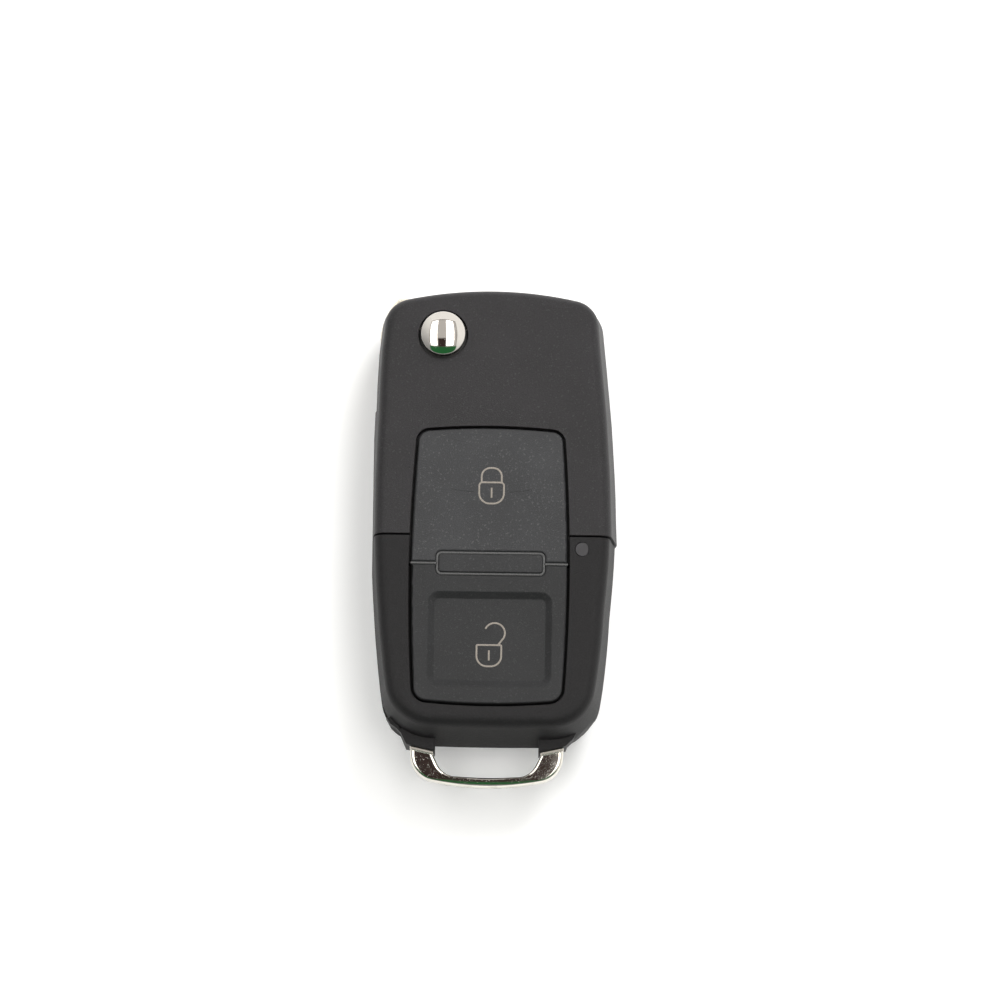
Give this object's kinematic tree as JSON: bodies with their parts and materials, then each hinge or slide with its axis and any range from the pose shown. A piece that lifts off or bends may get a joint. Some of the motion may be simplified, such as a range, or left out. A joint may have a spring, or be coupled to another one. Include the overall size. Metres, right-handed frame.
{
  "type": "car key fob",
  "caption": "Folding car key fob with a blade that swings out of its side, lock and unlock buttons and a metal key-ring bail at its foot.",
  "frame": {"origin": "under the middle of the fob's box, on the surface that it lies on with its buttons up", "axes": "+Z out of the button face, +Y towards the end with the release button, +X to the right seen from the front, away from the folded blade"},
  "size_m": [0.0365, 0.0748, 0.0169],
  "materials": {
    "shell_black": "fine spark-eroded grain",
    "button_grey": "satin",
    "chrome": "polished",
    "blade_nickel": "nickel plated",
    "blade_steel": "nickel plated, milled",
    "screw_steel": "zinc plated",
    "spring_steel": "drawn wire",
    "cell_steel": "satin nickel",
    "can_steel": "drawn",
    "contact_brass": "plated strip",
    "mat_rubber": "moulded silicone",
    "board_green": "solder resist",
    "switch_black": "moulded",
    "plunger_white": "moulded",
    "capsule_ceramic": "carbon filled",
    "led_clear": "moulded",
    "window_smoke": "smoked clear"
  },
  "bodies": {
    "remote_half": {"remote_front_shell": "shell_black", "divider_bar": "button_grey", "keypad_mat": "mat_rubber", "circuit_board": "board_green", "aerial_trace": "contact_brass", "lock_switch": "switch_black", "unlock_switch": "switch_black", "controller_chip": "switch_black", "resonator_can": "can_steel", "indicator_led": "led_clear", "led_window": "window_smoke", "coin_cell": "cell_steel", "rim_contact": "contact_brass", "leaf_contact": "contact_brass", "key_bail": "chrome"},
    "head_half": {"head_front_shell": "shell_black", "head_rear_shell": "shell_black", "head_screw": "screw_steel", "transponder_capsule": "capsule_ceramic"},
    "blade": {"blade_hub": "blade_nickel", "key_blade": "blade_steel", "blade_pin": "screw_steel"},
    "release": {"release_button": "chrome", "release_spring": "spring_steel"},
    "lock_key": {"lock_button": "button_grey", "lock_plunger": "plunger_white"},
    "unlock_key": {"unlock_button": "button_grey", "unlock_plunger": "plunger_white"},
    "cover": {"battery_cover": "shell_black"}
  },
  "joints": [
    {"name": "head_slide", "type": "slide", "parent": "remote_half", "child": "head_half", "axis": [0, 1, 0], "range_m": [0, 0.04]},
    {"name": "blade_swing", "type": "hinge", "parent": "head_half", "child": "blade", "pos_m": [-0.008, 0.0301, 0.0075], "axis": [0, 0, -1], "range_deg": [0, 180]},
    {"name": "release_press", "type": "slide", "parent": "blade", "child": "release", "axis": [0, 0, -1], "range_m": [0, 0.0016], "stiffness_N_per_m": 1500, "springref_m": -0.001, "deforming": ["release_spring"]},
    {"name": "lock_press", "type": "slide", "parent": "remote_half", "child": "lock_key", "axis": [0, 0, -1], "range_m": [0, 0.00035], "stiffness_N_per_m": 4000, "springref_m": -0.0002},
    {"name": "unlock_press", "type": "slide", "parent": "remote_half", "child": "unlock_key", "axis": [0, 0, -1], "range_m": [0, 0.00035], "stiffness_N_per_m": 4000, "springref_m": -0.0002},
    {"name": "cover_lift", "type": "slide", "parent": "remote_half", "child": "cover", "axis": [0, 0, -1], "range_m": [0, 0.012]}
  ]
}
